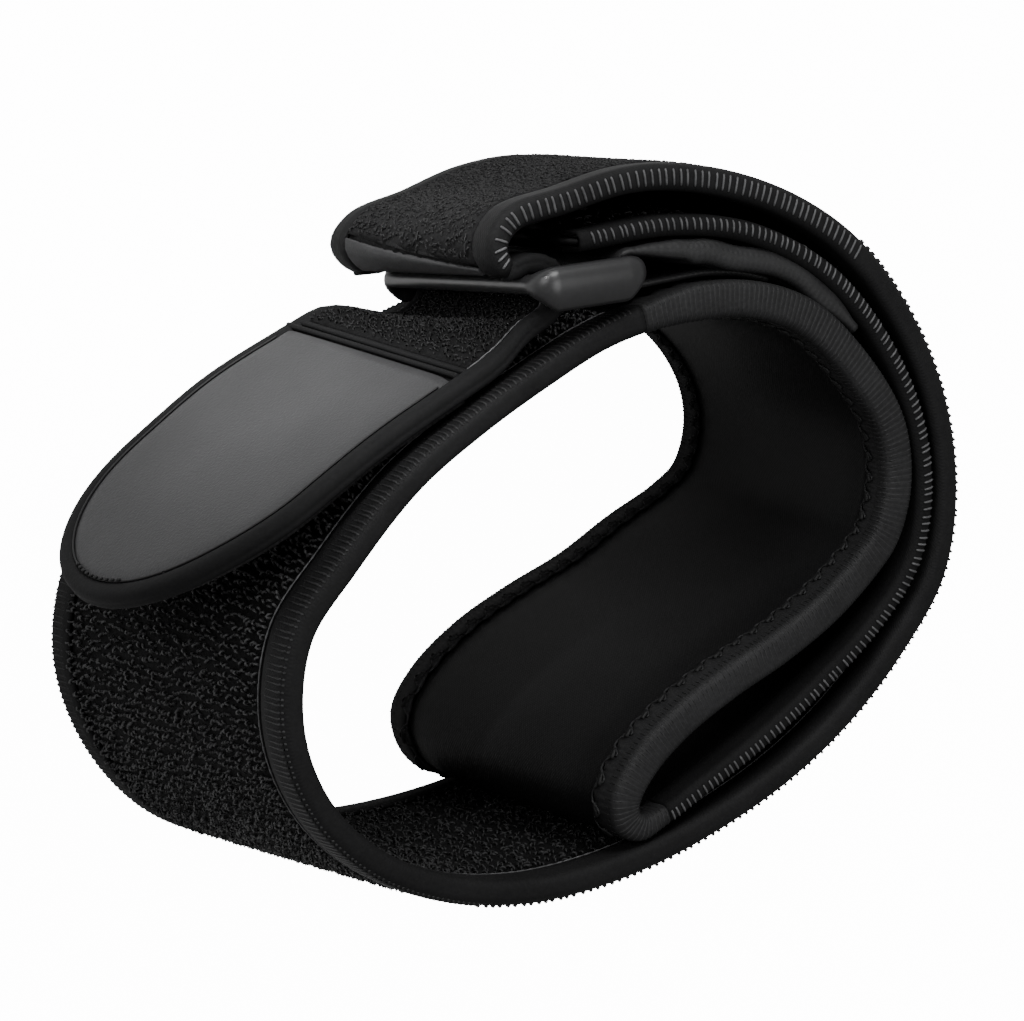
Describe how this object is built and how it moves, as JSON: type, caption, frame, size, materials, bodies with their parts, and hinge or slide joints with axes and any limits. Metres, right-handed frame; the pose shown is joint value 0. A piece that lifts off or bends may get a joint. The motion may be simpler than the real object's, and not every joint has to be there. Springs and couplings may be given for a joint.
{
  "type": "tennis elbow strap",
  "caption": "Coiled forearm support strap: a bound band threaded through an oval ring, with a doubled pad inside and a round hook tab outside.",
  "frame": {"origin": "under the middle of the coiled strap's box, on the surface that it stands on", "axes": "+Z along the coil's axis, from the far edges that it stands on to the near edges; +X across the coil's long way, away from the tab; +Y towards the ring"},
  "size_m": [0.1248, 0.1006, 0.0614],
  "materials": {
    "tab_fabric": "smooth black nylon face",
    "grip_patch": "soft dark grey, finely grained",
    "hook_tape": "black hook tape",
    "loop_pile": "black brushed loop pile",
    "binding": "ribbed black elastic binding",
    "pad_satin": "smooth black satin",
    "ring_plastic": "moulded, soft gloss",
    "tape_webbing": "smooth woven tape"
  },
  "bodies": {
    "root": {"tab_strap": "tab_fabric", "tab_patch": "grip_patch", "tab_hook": "hook_tape", "strap_band": "loop_pile", "strap_band_edge_near": "binding", "strap_band_edge_far": "binding", "pad": "pad_satin", "pad_edge_near": "binding", "pad_edge_far": "binding", "ring": "ring_plastic", "keeper_tape": "tape_webbing"}
  },
  "joints": []
}
